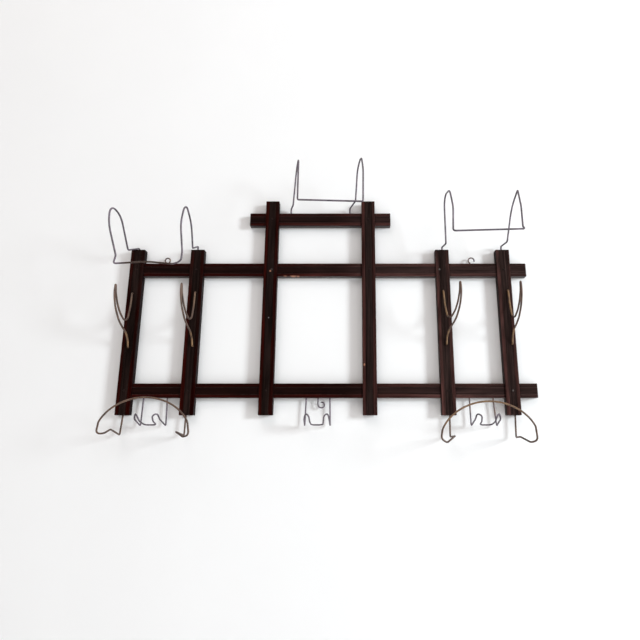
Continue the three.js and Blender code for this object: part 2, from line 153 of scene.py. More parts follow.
class HatRackWire(bpy.types.PropertyGroup):
    hat_diameter: metres(
        "Holder wire", "Diameter of the hat and brim holders' wire", 0.0038, 0.002, 0.005)
    coat_diameter: metres(
        "Coat hook wire", "Diameter of the coat hooks' wire", 0.0040, 0.002, 0.006)
    cane_diameter: metres(
        "Cane hook wire", "Diameter of the double hooks' wire", 0.0033, 0.002, 0.005)
    small_diameter: metres(
        "Small wire", "Diameter of the hanging eye, the crook and the scroll",
        0.0031, 0.0015, 0.004)
    sides: IntProperty(
        name="Sides", description="Number of sides of a wire's section", default=14, min=8, max=32)
    spacing: metres("Ring spacing", "Distance between two rings along a wire",
                    0.0012, 0.0005, 0.005)
    steel_colour: tint(
        "Grey steel", "Wire of the hat holders and the small hooks", (0.132, 0.110, 0.134))
    bronze_colour: tint(
        "Brown steel", "Wire of the coat hooks and the brim holders", (0.110, 0.070, 0.054))
    gilt_colour: tint(
        "Bronze paint", "What is left of the bronze paint on the wires", (0.28, 0.165, 0.082))
    tarnish_colour: tint(
        "Tarnish", "Dark brown stretches of a grey wire", (0.048, 0.028, 0.020))
    rust_colour: tint("Rust", "Small rusty spots on the wires", (0.085, 0.038, 0.018))


class HatRackStage(bpy.types.PropertyGroup):
    camera_place: FloatVectorProperty(
        name="Camera", description="Where the photograph was taken from",
        default=(0.064, -1.121, -0.3817), subtype="TRANSLATION", unit="LENGTH", size=3)
    camera_tilt: FloatProperty(
        name="Tilt", description="How far the camera looks up",
        default=math.radians(13.3), subtype="ANGLE", unit="ROTATION")
    lens: amount("Lens", "Focal length in millimetres on a 36 mm wide sensor", 28.01)
    shift: amount("Shift", "Sideways shift of the picture, as a share of its width", -0.0422)
    wall_colour: tint("Wall", "Paint of the wall and the floor", (0.93, 0.93, 0.932))
    key_power: amount("Key light", "Power of the window light from the right", 210.0)
    ceiling_power: amount(
        "Ceiling light", "Power of the light that comes back from the ceiling", 42.0)
    room_light: amount("Room light", "Strength of the even light of the room", 0.405)
    backdrop_light: amount(
        "Backdrop", "Strength of the room where it's looked at or mirrored", 0.85)
    window_colour: tint(
        "Window colour", "Daylight, slightly cooler than the room", (0.93, 1.0, 1.03), 2.0)
    room_colour: tint(
        "Room colour", "Light that comes back from the room, slightly warm", (1.0, 0.94, 0.91))


# Node recipes


class Recipe:
    """A material or the world, and the few steps that its node tree is made with."""

    def __init__(self, owner, shader="Principled BSDF"):
        owner.use_nodes = True
        self.owner = owner
        self.nodes = owner.node_tree.nodes
        self.links = owner.node_tree.links
        self.shader = self.nodes[shader]

    def add(self, kind, inputs=None, **settings):
        node = self.nodes.new("ShaderNode" + kind)
        for key, value in settings.items():
            setattr(node, key, value)
        for key, value in (inputs or {}).items():
            self.feed(value, node.inputs[key])
        return node

    def feed(self, value, socket):
        """Links a node's output to a socket, or sets the socket's own value."""
        if isinstance(value, bpy.types.NodeSocket):
            self.links.new(value, socket)
        else:
            socket.default_value = value

    def math(self, operation, a, b=0.5, clamp=False):
        node = self.add("Math", {0: a, 1: b}, operation=operation, use_clamp=clamp)
        return node.outputs[0]

    def times(self, a, b, clamp=False):
        return self.math("MULTIPLY", a, b, clamp)

    def plus(self, a, b, clamp=False):
        return self.math("ADD", a, b, clamp)

    def ramp(self, value, start, end, low=0.0, high=1.0):
        """A smooth step from low at start to high at end."""
        ends = {"From Min": start, "From Max": end, "To Min": low, "To Max": high}
        node = self.add("MapRange", {"Value": value, **ends}, interpolation_type="SMOOTHSTEP")
        return node.outputs["Result"]

    def mix(self, share, a, b):
        node = self.add("Mix", data_type="RGBA")
        self.feed(share, node.inputs["Factor"])
        self.feed(a, node.inputs["A"])
        self.feed(b, node.inputs["B"])
        return node.outputs["Result"]

    def noise(self, place, scale, detail, roughness):
        settings = {"Scale": scale, "Detail": detail, "Roughness": roughness}
        return self.add("TexNoise", {"Vector": place, **settings}).outputs["Fac"]

    def stretched(self, place, along, across):
        """Grain coordinates: place in metres, scaled along and across the grain."""
        node = self.add("Mapping", {"Vector": place, "Scale": (along, across, 1.0)})
        return node.outputs["Vector"]

    def scaled(self, tone, strength):
        node = self.add("VectorMath", {0: tone, "Scale": strength}, operation="SCALE")
        return node.outputs["Vector"]

    def attribute(self, name):
        return self.add("Attribute", attribute_name=name).outputs["Fac"]

    def bump(self, height, strength, distance):
        relief = {"Height": height, "Strength": strength, "Distance": distance}
        return self.add("Bump", relief).outputs["Normal"]

    def set(self, **values):
        for key, value in values.items():
            self.feed(value, self.shader.inputs[key.replace("_", " ")])


def rgba(tone, share=1.0):
    return (tone[0] * share, tone[1] * share, tone[2] * share, 1.0)


# What each point of a slat tells the wood's material
SLAT_MARKS = ("worn", "chipped", "fleck", "end_grain", "painted_sheen", "bloom", "redness", "back")


def slat_wood(name, look):
    """Dark stained slats under old varnish: black middle band, red-brown edges, worn arrises."""
    wood = Recipe(bpy.data.materials.new(name))
    grain_map = wood.add("UVMap", uv_map="grain").outputs["UV"]
    sideways = wood.add("SeparateXYZ", {0: grain_map}).outputs["Y"]
    across = wood.math("ABSOLUTE", sideways)
    worn, chipped, fleck, end_grain, painted_sheen, bloom, redness, back = (
        wood.attribute(mark) for mark in SLAT_MARKS)

    def grained(lengthwise, crosswise, detail, roughness):
        place = wood.stretched(grain_map, lengthwise, crosswise)
        return wood.noise(place, 1.0, detail, roughness)

    streaks = grained(7.0, 250.0, 5.0, 0.62)
    fine = grained(45.0, 2100.0, 3.0, 0.6)
    long_lines = grained(4.0, 330.0, 4.0, 0.65)
    clouds = grained(7.0, 45.0, 3.0, 0.55)
    speckle = grained(260.0, 420.0, 4.0, 0.6)

    # Bands of the face: the cut lines part the black middle from the redder edges
    line = look.groove_spacing / 2
    wander = wood.times(wood.math("SUBTRACT", clouds, 0.5), 0.009)
    edge_band = wood.ramp(wood.plus(across, wander), line - 0.0012, line + 0.0026)
    edge_band = wood.times(edge_band, redness, clamp=True)
    side = wood.ramp(across, SLAT_WIDTH / 2 + 0.0004, SLAT_WIDTH / 2 + 0.002)
    # Painted sheen: the bands turn lighter and greyer towards the right, where the window's light
    # shines on the finish
    middle = wood.mix(painted_sheen, rgba(look.centre_colour), rgba(look.painted_sheen_centre))
    middle = wood.mix(wood.times(bloom, 0.55), middle, rgba(look.bloom_colour))
    edges = wood.mix(painted_sheen, rgba(look.edge_colour), rgba(look.painted_sheen_edge))
    # Edge bands lighter and redder towards the lower side of a rail and the left side of a stile:
    # partly rubbing by hands, partly painted sheen of the room's light
    lower = wood.ramp(sideways, -line, -line - 0.004, 0.9, 1.45)
    tone = wood.mix(edge_band, middle, wood.scaled(edges, lower))

    # Grain: dark and light streaks, blotches, and long pale lines where the window sheen is painted
    grain = wood.times(wood.ramp(streaks, 0.30, 0.70, 0.52, 1.55),
                       wood.ramp(clouds, 0.30, 0.70, 0.78, 1.25))
    tone = wood.scaled(tone, grain)
    tone = wood.scaled(tone, wood.ramp(fine, 0.55, 0.74, 1.0, 0.62))
    pale = wood.times(wood.ramp(long_lines, 0.50, 0.68, 0.0, 0.50), painted_sheen)
    tone = wood.mix(pale, tone, rgba(look.pale_line_colour))
    # Painted shade: the narrow sides get a darker colour, so they stay dark where the lamps light
    # them
    tone = wood.mix(wood.times(side, 0.85), tone, rgba(look.side_shade_colour))

    # The back was never stained
    plain_grain = wood.times(grain, wood.ramp(fine, 0.5, 0.75, 1.0, 0.7))
    plain = wood.scaled(look.back_colour, plain_grain)
    back = wood.ramp(back, 0.5, 0.95)
    tone = wood.mix(back, tone, plain)

    # Wear: arrises rubbed back to a redder brown, then to bare wood in a few spots. The redder
    # arrises are stronger where the window sheen is painted, so they are partly a painted
    # highlight.
    rubbed = wood.times(worn, wood.ramp(speckle, 0.50, 0.66))
    rubbed = wood.times(rubbed, wood.ramp(painted_sheen, 0.0, 1.0, 0.08, 0.65))
    tone = wood.mix(rubbed, tone, rgba(look.painted_sheen_edge, 1.8))
    scuffed = wood.times(worn, wood.ramp(speckle, 0.69, 0.74, 0.0, 0.5))
    ragged = wood.plus(chipped, wood.times(wood.math("SUBTRACT", speckle, 0.5), 0.9))
    bare = wood.math("MAXIMUM", scuffed, wood.ramp(ragged, 0.42, 0.60))
    bare_tone = wood.mix(wood.ramp(streaks, 0.30, 0.72), rgba(look.bare_colour, 0.55),
                         rgba(look.bare_colour, 1.05))
    tone = wood.mix(bare, tone, bare_tone)
    tone = wood.mix(wood.ramp(fleck, 0.45, 0.9), tone, rgba(look.fleck_colour))
    tone = wood.mix(wood.times(end_grain, 0.6), tone, rgba(look.centre_colour, 1.1))

    # Dust lies on what faces up
    normal = wood.add("NewGeometry").outputs["Normal"]
    upward = wood.ramp(wood.add("SeparateXYZ", {0: normal}).outputs["Z"], 0.35, 0.9)
    dust = wood.times(upward, wood.ramp(speckle, 0.35, 0.65, 0.08, 0.32))
    tone = wood.mix(dust, tone, rgba(look.dust_colour))

    rough = wood.ramp(clouds, 0.30, 0.72, 0.34, 0.50)
    rough = wood.plus(rough, wood.times(wood.math("MAXIMUM", bare, back), 0.3), clamp=True)
    rough = wood.plus(rough, wood.times(dust, 0.6), clamp=True)
    height = wood.plus(wood.times(streaks, 0.6), wood.times(fine, 0.4))
    height = wood.math("SUBTRACT", height, wood.times(bare, 0.5))
    normal = wood.bump(height, 0.35, 0.0006)

    # The worn finish is dull when seen straight on, and shines at a low angle
    facing = wood.add("LayerWeight", {"Blend": 0.5}).outputs["Facing"]
    shine = wood.ramp(facing, 0.35, 0.72, look.dull_gloss, look.low_angle_gloss)
    shine = wood.times(shine, wood.math("SUBTRACT", 1.0, wood.times(bloom, 0.93)))
    wood.set(Base_Color=tone, Roughness=rough, Normal=normal, Specular_IOR_Level=shine)
    return wood.owner


def wire_steel(name, steel, look, rust):
    """Drawn steel wire, tarnished in patches, with draw lines and what is left of bronze paint."""
    wire = Recipe(bpy.data.materials.new(name))
    place = wire.add("UVMap", uv_map="grain").outputs["UV"]
    solid = wire.add("TexCoord").outputs["Object"]
    patches = wire.noise(solid, 70.0, 4.0, 0.6)
    spots = wire.noise(solid, 520.0, 3.0, 0.6)
    drawn = wire.noise(wire.stretched(place, 30.0, 900.0), 1.0, 2.0, 0.5)

    tone = wire.mix(wire.ramp(patches, 0.36, 0.66), rgba(steel, 0.62), rgba(steel, 1.35))
    tone = wire.mix(wire.ramp(spots, 0.55, 0.70, 0.0, rust), tone, rgba(look.rust_colour))
    # The attribute is positive where paint is left and negative where the wire is tarnished
    paint = wire.attribute("gilt")
    gilt = wire.times(paint, wire.ramp(patches, 0.34, 0.58, 0.35, 1.0), clamp=True)
    gilt_tone = wire.mix(wire.ramp(spots, 0.40, 0.62), rgba(look.gilt_colour, 0.62),
                         rgba(look.gilt_colour))
    tone = wire.mix(gilt, tone, gilt_tone)
    tarnish = wire.times(paint, -1.0, clamp=True)
    tone = wire.mix(tarnish, tone, rgba(look.tarnish_colour))
    tone = wire.mix(wire.ramp(drawn, 0.45, 0.75, 0.0, 0.25), tone, rgba(steel, 0.45))

    rough = wire.ramp(patches, 0.32, 0.70, 0.34, 0.58)
    rough = wire.plus(rough, wire.ramp(spots, 0.50, 0.70, 0.0, 0.25), clamp=True)
    metal = wire.ramp(spots, 0.52, 0.70, 0.55, 0.2)
    height = wire.plus(wire.times(spots, 0.6), wire.times(drawn, 0.4))
    wire.set(Base_Color=tone, Roughness=rough, Metallic=metal,
             Normal=wire.bump(height, 0.3, 0.0003))
    return wire.owner


# Nail heads: in the hollows and on the high spots, stained over with the wood or rubbed bright
STAINED_NAIL = ((0.008, 0.003, 0.0025), (0.020, 0.011, 0.009))
BRIGHT_NAIL = ((0.05, 0.042, 0.04), (0.20, 0.18, 0.17))


def nail_steel(name):
    """Old nail heads, dark in the hollows; a few are rubbed bright."""
    nail = Recipe(bpy.data.materials.new(name))
    solid = nail.add("TexCoord").outputs["Object"]
    marks = nail.noise(solid, 900.0, 3.0, 0.6)
    tarnish = nail.noise(solid, 160.0, 3.0, 0.5)
    high_spots = nail.ramp(marks, 0.40, 0.62)
    stained, bright = (nail.mix(high_spots, rgba(hollow), rgba(high))
                       for hollow, high in (STAINED_NAIL, BRIGHT_NAIL))
    rubbed = nail.attribute("rubbed")
    nail.set(Base_Color=nail.mix(rubbed, stained, bright), Metallic=nail.times(rubbed, 0.6),
             Roughness=nail.ramp(tarnish, 0.35, 0.65, 0.38, 0.62), Specular_IOR_Level=0.08,
             Normal=nail.bump(marks, 0.5, 0.0004))
    return nail.owner


# Pieces and meshes


def collection_of(name):
    """The named collection under the scene's own, made when first asked for."""
    found = bpy.data.collections.get(name)
    if found is None:
        found = bpy.data.collections.new(name)
        bpy.context.scene.collection.children.link(found)
    return found


def put(name, mesh, material, group):
    piece = bpy.data.objects.new(name, mesh)
    mesh.materials.append(material)
    collection_of(group).objects.link(piece)
    return piece


def stand_for(piece, node):
    """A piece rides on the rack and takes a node's place."""
    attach(piece, "root")
    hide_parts(node)


def material_once(name, make, *given):
    return bpy.data.materials.get(name) or make(name, *given)


def skin(made, rims, closed=False):
    """Faces between each rim of points and the next; a rim of one point is a tip."""
    faces = []
    for near, far in zip(rims, rims[1:]):
        count = max(len(near), len(far))
        for step in range(count if closed else count - 1):
            after = (step + 1) % count
            corners = (near[step % len(near)], near[after % len(near)],
                       far[after % len(far)], far[step % len(far)])
            faces.append(made.faces.new(list(dict.fromkeys(corners))))
    return faces


def finished_mesh(made, name, outward=True):
    """The built faces as a mesh, turned outward where they close a piece."""
    if outward:
        bmesh.ops.recalc_face_normals(made, faces=made.faces)
    mesh = bpy.data.meshes.new(name)
    made.to_mesh(mesh)
    made.free()
    return mesh


# Slats


class Chip(NamedTuple):
    """A spot where the finish is off: its slat, its middle along and across it, and its size.

    Along is measured in the rack's own X on a rail and Z on a stile, across from the slat's
    middle. A grey one is a fleck of plaster or paint on the finish.
    """
    slat: str
    along: float
    across: float
    length: float
    width: float
    grey: bool = False

    def strength(self, along, across):
        reach = math.hypot((along - self.along) / (self.length / 2),
                           (across - self.across) / (self.width / 2))
        return max(0.0, min(1.0, 1.6 - reach))


CHIPS = [
    Chip("rail_middle", -0.080, -0.0152, 0.009, 0.0012),
    Chip("rail_middle", -0.061, -0.0152, 0.014, 0.0016),
    Chip("rail_middle", -0.050, -0.0154, 0.006, 0.0014),
    Chip("stile_centre_left", -0.1156, 0.0010, 0.0042, 0.0030, grey=True),
    Chip("stile_centre_left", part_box("nail_middle_centre_left")[0].z - 0.0012, 0.0008,
         0.0052, 0.0030),
    Chip("stile_centre_right", -0.2230, -0.0120, 0.0056, 0.0027),
]

BACK_EASE = 0.0004      # chamfer of the back edges
LIP_DROP = 0.00008      # how far the lips of the cut lines are worn down
ARRIS_STEPS = 4
END_ROUND = 0.0005      # how far an end is rounded in, and over what length
END_REACH = 0.001
END_WEAR = 0.6          # wear that an end adds
DEEPEST_DENT = 0.00022  # of a worn arris
STATION_STEP = 0.004    # between two sections along a slat
CHIP_STEP = 0.0007      # the same at a chip
LEAST_STEP = 0.00015    # sections that are nearer than this become one
SHARP_EDGE = math.radians(38)


def slat_section(thickness, look):
    """Points round a slat, from the back's middle over the left side, face and right side and back.

    Each is (across, out, wear): out is the height over the back, wear is 1 on the arrises.
    """
    half = SLAT_WIDTH / 2
    arris = look.arris
    left = [(-half * 0.5, 0.0, 0.0), (-half + BACK_EASE, 0.0, 0.3), (-half, BACK_EASE, 0.3)]
    left += [(-half, thickness * share, 0.0) for share in (0.35, 0.65)]
    for step in range(ARRIS_STEPS + 1):
        angle = HALF_TURN - HALF_TURN / 2 * step / ARRIS_STEPS
        left.append((-half + arris + arris * math.cos(angle),
                     thickness - arris + arris * math.sin(angle), 1.0))
    line = -look.groove_spacing / 2
    lip = look.groove_width / 2
    floor = thickness - look.groove_depth * 0.9
    left += [(-half + arris * 2.2, thickness, 0.4), ((-half + line) / 2, thickness, 0.0),
             (line - lip * 1.5, thickness, 0.0), (line - lip, thickness - LIP_DROP, 0.35),
             (line - lip * 0.3, floor, 0.0), (line + lip * 0.3, floor, 0.0),
             (line + lip, thickness - LIP_DROP, 0.35), (line + lip * 1.5, thickness, 0.0),
             (line * 0.5, thickness, 0.0)]
    right = [(-across, out, wear) for across, out, wear in reversed(left)]
    return [(0.0, 0.0, 0.0), *left, (0.0, thickness, 0.0), *right, (0.0, 0.0, 0.0)]


# Where the painted window sheen starts on a slat, over what length it grows, and how strong it gets
SHEEN_ON_RAILS = {"rail_middle": (-0.15, 0.48, 1.3), "rail_bottom": (-0.02, 0.42, 1.15)}
SHEEN_ELSEWHERE = (-0.15, 0.48, 1.0)
# Where the red starts to go out of a long rail's edge bands, and over what length it goes
RED_ENDS, RED_FADES_OVER = 0.34, 0.10


def painted_sheen_at(name, spot):
    """How much window sheen is painted at a spot, growing towards the right; 1 is the full sheen
    colour.
    """
    drift = 0.22 * noise.noise(Vector((spot.x * 11.0, spot.z * 11.0, len(name))))
    start, reach, strength = SHEEN_ON_RAILS.get(name, SHEEN_ELSEWHERE)
    share = min(max((spot.x - start) / reach + drift, 0.0), 1.0)
    return share * share * (3 - 2 * share) * strength


def reddening(name, spot, height):
    """How red the edge bands are, in patches; height is a share of the stile's, from its foot."""
    patches = noise.noise(Vector((spot.x * 24.0, spot.z * 24.0, 7.0 + len(name))))
    if name in STILES:
        loss = 0.3 if "centre" in name else 0.75
        return 1.1 - loss * height + 0.55 * patches
    right_end = min(max((spot.x - RED_ENDS) / RED_FADES_OVER, 0.0), 1.0)
    return (1.0 + 0.45 * patches) * (1 - 0.8 * right_end)


def slat_stations(length, chips, start):
    """Distances along a slat at which it has a section: close at its ends and round a chip."""
    easing = [0.0, 0.0002, 0.0005, END_REACH]
    stations = easing + [length - step for step in easing]
    count = math.ceil(length / STATION_STEP)
    stations += [length * step / count for step in range(1, count)]
    for chip in chips:
        reach = chip.length * 0.9
        steps = math.ceil(2 * reach / CHIP_STEP)
        first = chip.along - start - reach
        stations += [first + 2 * reach * step / steps for step in range(steps)]
    kept = []
    for station in sorted(stations):
        if 0.0 <= station <= length and (not kept or station - kept[-1] > LEAST_STEP):
            kept.append(station)
    return kept


def chipping(chips, along, across, grey):
    """How far the finish is off at a place on a slat's face, or how strong a grey fleck is."""
    return max((chip.strength(along, across) for chip in chips if chip.grey == grey), default=0.0)


def end_inset(from_end):
    """How far a slat is rounded in at a distance from its end."""
    if from_end >= END_REACH:
        return 0.0
    return END_ROUND * (1 - math.sqrt(1 - (1 - from_end / END_REACH) ** 2))


def slat_mesh(name, look):
    """A grooved slat over its node's box, with softened ends and a little wear on its edges."""
    low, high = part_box(name)
    upright = name in STILES
    start, end = (low.z, high.z) if upright else (low.x, high.x)
    centre = (low.x + high.x) / 2 if upright else (low.z + high.z) / 2
    thickness = high.y - low.y
    section = slat_section(thickness, look)
    chips = [chip for chip in CHIPS if chip.slat == name]
    stations = slat_stations(end - start, chips, start)
    seed = Vector((len(name) * 3.1, centre * 40.0, start * 17.0))
    girth = [0.0]
    for before, after in zip(section, section[1:]):
        girth.append(girth[-1] + math.hypot(after[0] - before[0], after[1] - before[1]))
    middle_girth = girth[len(section) // 2]

    made = bmesh.new()
    grain = made.loops.layers.uv.new("grain")
    layers = {mark: made.verts.layers.float.new(mark) for mark in SLAT_MARKS}
    rims = []
    place = {}
    for station in stations:
        along = start + station
        from_end = min(station, stations[-1] - station)
        inset = end_inset(from_end)
        rim = []
        for number, (across, out, wear) in enumerate(section):
            rub = noise.noise(seed + Vector((station * 60.0, across * 90.0, out * 90.0)))
            dent = DEEPEST_DENT * wear * max(0.0, rub + 0.1)
            side = across * (1 - 2 * inset / SLAT_WIDTH) * (1 - dent / (SLAT_WIDTH / 2))
            rise = inset + out * (1 - 2 * inset / thickness)
            if out > thickness / 2:
                rise -= dent
            spot = Vector((centre + side, high.y - rise, along) if upright
                          else (along, high.y - rise, centre + side))
            near = chips if out > thickness * 0.6 else ()
            marks = {
                "worn": min(1.0, wear + (END_WEAR if from_end < 1.1 * END_REACH else 0.0)),
                "chipped": chipping(near, along, across, grey=False),
                "fleck": chipping(near, along, across, grey=True),
                "end_grain": float(from_end == 0.0),
                # painted sheen of the window light, growing towards the right
                "painted_sheen": painted_sheen_at(name, spot),
                "bloom": float(upright),
                "redness": reddening(name, spot, station / stations[-1]),
                "back": float(out == 0.0),
            }
            vert = made.verts.new(spot)
            for mark, value in marks.items():
                vert[layers[mark]] = value
            place[vert] = (station, girth[number] - middle_girth)
            rim.append(vert)
        rims.append(rim)
    # Each slat is cut from its own part of the grain
    drift = Vector((sum(ord(letter) for letter in name) * 0.37, 0.0))
    for face in skin(made, rims):
        for loop in face.loops:
            loop[grain].uv = Vector(place[loop.vert]) + drift
    made.faces.new(rims[0][:-1])
    made.faces.new(list(reversed(rims[-1][:-1])))
    bmesh.ops.remove_doubles(made, verts=made.verts, dist=1e-7)
    return finished_mesh(made, name.replace("_", "-"))


def halving_boxes(name):
    """Where the crossing slats take wood away from this one: low and high corners."""
    upright = name in STILES
    own_low, own_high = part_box(name)
    play = Vector((0.0 if upright else FIT, 0.0, FIT))
    boxes = []
    for other in (RAILS if upright else STILES):
        low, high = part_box(other)
        if (low.x > own_high.x or high.x < own_low.x
                or low.z > own_high.z or high.z < own_low.z):
            continue
        if upright:
            first = Vector((own_low.x - OVERCUT, -RAIL_TONGUE - FIT, low.z))
            last = Vector((own_high.x + OVERCUT, OVERCUT, high.z))
        else:
            first = Vector((low.x, RAIL_FACE - OVERCUT, own_low.z - OVERCUT))
            last = Vector((high.x, -RAIL_TONGUE, own_high.z + OVERCUT))
        boxes.append((first - play, last + play))
    return boxes


def boxes_mesh(boxes):
    """Plain boxes in one mesh, given by their low and high corners."""
    made = bmesh.new()
    for low, high in boxes:
        at = Matrix.Translation((low + high) / 2) @ Matrix.Diagonal((*(high - low), 1.0))
        bmesh.ops.create_cube(made, size=1.0, matrix=at)
    return finished_mesh(made, "halvings", outward=False)


def take_away(piece, cutter_mesh):
    """Cuts a mesh out of a piece and keeps the result as the piece's own mesh."""
    cutter = bpy.data.objects.new("cutter", cutter_mesh)
    bpy.context.scene.collection.objects.link(cutter)
    cutting = piece.modifiers.new("halving", "BOOLEAN")
    cutting.operation = "DIFFERENCE"
    cutting.solver = "EXACT"
    cutting.object = cutter
    bpy.context.view_layer.update()
    evaluated = piece.evaluated_get(bpy.context.evaluated_depsgraph_get())
    result = bpy.data.meshes.new_from_object(evaluated)
    piece.modifiers.clear()
    piece.data = result
    bpy.data.objects.remove(cutter)


def build_slats(names, look):
    material = material_once("stained_wood", slat_wood, look)
    for name in names:
        slat = put(name + "_slat", slat_mesh(name, look), material, "Wood")
        take_away(slat, boxes_mesh(halving_boxes(name)))
        slat.data.shade_smooth()
        slat.data.set_sharp_from_angle(angle=SHARP_EDGE)
        stand_for(slat, name)


# Nails


# Heads that are rubbed bright, and how much; the others are stained over
RUBBED_NAILS = {"nail_middle_inner_right": 0.8, "nail_bottom_outer_right": 0.6,
                "nail_middle_centre_left": 0.3}
NAIL_SIDES = 20
# The head's outline, from its top outwards: shares of its radius and of its height
NAIL_HEAD = ((0.0, 0.0), (0.35, 0.06), (0.66, 0.2), (0.88, 0.45), (0.98, 0.7), (0.95, 0.92))
NAIL_SHANK = 0.4
HAMMER_FLATS = 0.04


def nail_mesh(name):
    """A small domed head with hammer flats, on a shank that goes into the rail."""
    low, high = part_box(name)
    centre = (low + high) / 2
    radius = (high.x - low.x) / 2
    rise = STILE_FACE - low.y
    shank = radius * NAIL_SHANK
    profile = [(radius * out, low.y + rise * depth) for out, depth in NAIL_HEAD]
    profile += [(shank, low.y + rise), (shank, high.y - shank * 2), (0.0, high.y)]
    made = bmesh.new()
    rubbed = made.verts.layers.float.new("rubbed")
    rims = []
    for radial, depth in profile:
        rim = []
        for side in range(NAIL_SIDES if radial else 1):
            angle = 2 * HALF_TURN * side / NAIL_SIDES
            where = Vector((centre.x * 90 + math.cos(angle), centre.z * 90, math.sin(angle)))
            reach = radial * (1.0 + HAMMER_FLATS * noise.noise(where))
            rim.append(made.verts.new((centre.x + reach * math.cos(angle), depth,
                                       centre.z + reach * math.sin(angle))))
        rims.append(rim)
    skin(made, rims, closed=True)
    for vert in made.verts:
        vert[rubbed] = RUBBED_NAILS.get(name, 0.0)
    mesh = finished_mesh(made, name.replace("_", "-"))
    mesh.shade_smooth()
    return mesh


# Wires


BEND_ROOM = 0.48           # share of a leg that one fillet may take up
BEND_STEP = math.radians(6)
UNEVEN = 0.025             # how much a wire's radius varies
BLUNT_TIP = 0.25           # share of the radius that is left at an end
PAINT_EDGE = 0.025         # share of a wire's length over which its paint runs out


def bend(before, corner, after, radius):
    """Points of the fillet that turns a wire at a corner."""
    arrive = (corner - before).normalized()
    leave = (after - corner).normalized()
    turn = arrive.angle(leave)
    room = BEND_ROOM * min((corner - before).length, (after - corner).length)
    tangent = min(radius * math.tan(turn / 2), room)
    actual = tangent / math.tan(turn / 2)
    start = corner - arrive * tangent
    inward = (leave - arrive * leave.dot(arrive)).normalized()
    centre = start + inward * actual
    steps = max(2, math.ceil(turn / BEND_STEP))
    angles = [turn * step / steps for step in range(steps + 1)]
    return [centre - inward * actual * math.cos(angle) + arrive * actual * math.sin(angle)
            for angle in angles]


def wire_route(corners, hole_plane):
    """A wire's centreline from its corners: (x, forward, z), and a radius where it's filleted.

    Forward is measured from the plane of the wire's holes.
    """
    points = [Vector((x, hole_plane - forward, z)) for x, forward, z, *_ in corners]
    route = [points[0]]
    for number in range(1, len(points) - 1):
        radius = corners[number][3:]
        route += bend(*points[number - 1:number + 2], *radius) if radius else [points[number]]
    return route + [points[-1]]


def even_steps(route, spacing):
    """The same line with points at even distances, and its length."""
    lengths = [0.0]
    for before, after in zip(route, route[1:]):
        lengths.append(lengths[-1] + (after - before).length)
    count = max(2, round(lengths[-1] / spacing))
    points = []
    leg = 0
    for step in range(count + 1):
        wanted = lengths[-1] * step / count
        while leg < len(route) - 2 and lengths[leg + 1] < wanted:
            leg += 1
        part = (wanted - lengths[leg]) / max(lengths[leg + 1] - lengths[leg], 1e-9)
        points.append(route[leg].lerp(route[leg + 1], min(max(part, 0.0), 1.0)))
    return points, lengths[-1]


def softened(points, passes):
    """Hand-bent wire has no sudden change of curve: each point moves towards its neighbours."""
    for _ in range(passes):
        middle = [(a + b * 2 + c) / 4 for a, b, c in zip(points, points[1:], points[2:])]
        points = [points[0], *middle, points[-1]]
    return points


def paint_left(share, gilding):
    """How much paint is left at a share of a wire's length; a tarnished stretch is negative."""
    return sum(much * min(max(min(share - first, last - share) / PAINT_EDGE + 0.5, 0.0), 1.0)
               for first, last, much in gilding)


def wire_mesh(name, route, diameter, look, passes, gilding):
    """A round wire swept along its line, a little uneven, with rounded-over ends."""
    points, length = even_steps(route, look.spacing)
    points = softened(points, passes)
    sides = look.sides
    radius = diameter / 2
    made = bmesh.new()
    grain = made.loops.layers.uv.new("grain")
    gilt = made.verts.layers.float.new("gilt")
    up = (points[1] - points[0]).normalized().orthogonal().normalized()
    seed = Vector((points[0].x * 31.0, points[0].z * 17.0, 0.0))
    travels = [length * number / (len(points) - 1) for number in range(len(points))]
    rims = []
    for number, (point, travel) in enumerate(zip(points, travels)):
        ahead = points[min(number + 1, len(points) - 1)] - points[max(number - 1, 0)]
        heading = ahead.normalized()
        up = (up - heading * up.dot(heading)).normalized()
        across = heading.cross(up)
        lump = 1.0 + UNEVEN * noise.noise(seed + Vector((travel * 90.0, 0.0, 3.0)))
        from_end = max(0.0, min(travel / radius, (length - travel) / radius, 1.0))
        cap = math.sqrt(1 - (1 - from_end) ** 2)
        reach = radius * lump * max(cap, BLUNT_TIP)
        rim = []
        for side in range(sides):
            angle = 2 * HALF_TURN * side / sides
            outward = up * math.cos(angle) + across * math.sin(angle)
            vert = made.verts.new(point + outward * reach)
            vert[gilt] = paint_left(travel / length, gilding)
            rim.append(vert)
        rims.append(rim)
    round_step = HALF_TURN * diameter / sides
    for number, face in enumerate(skin(made, rims, closed=True)):
        face.smooth = True
        ring, side = divmod(number, sides)
        places = ((ring, side), (ring, side + 1), (ring + 1, side + 1), (ring + 1, side))
        for loop, (at, turn) in zip(face.loops, places):
            loop[grain].uv = (travels[at], turn * round_step)
    made.faces.new(list(reversed(rims[0])))
    made.faces.new(rims[-1])
    return finished_mesh(made, name.replace("_", "-"))


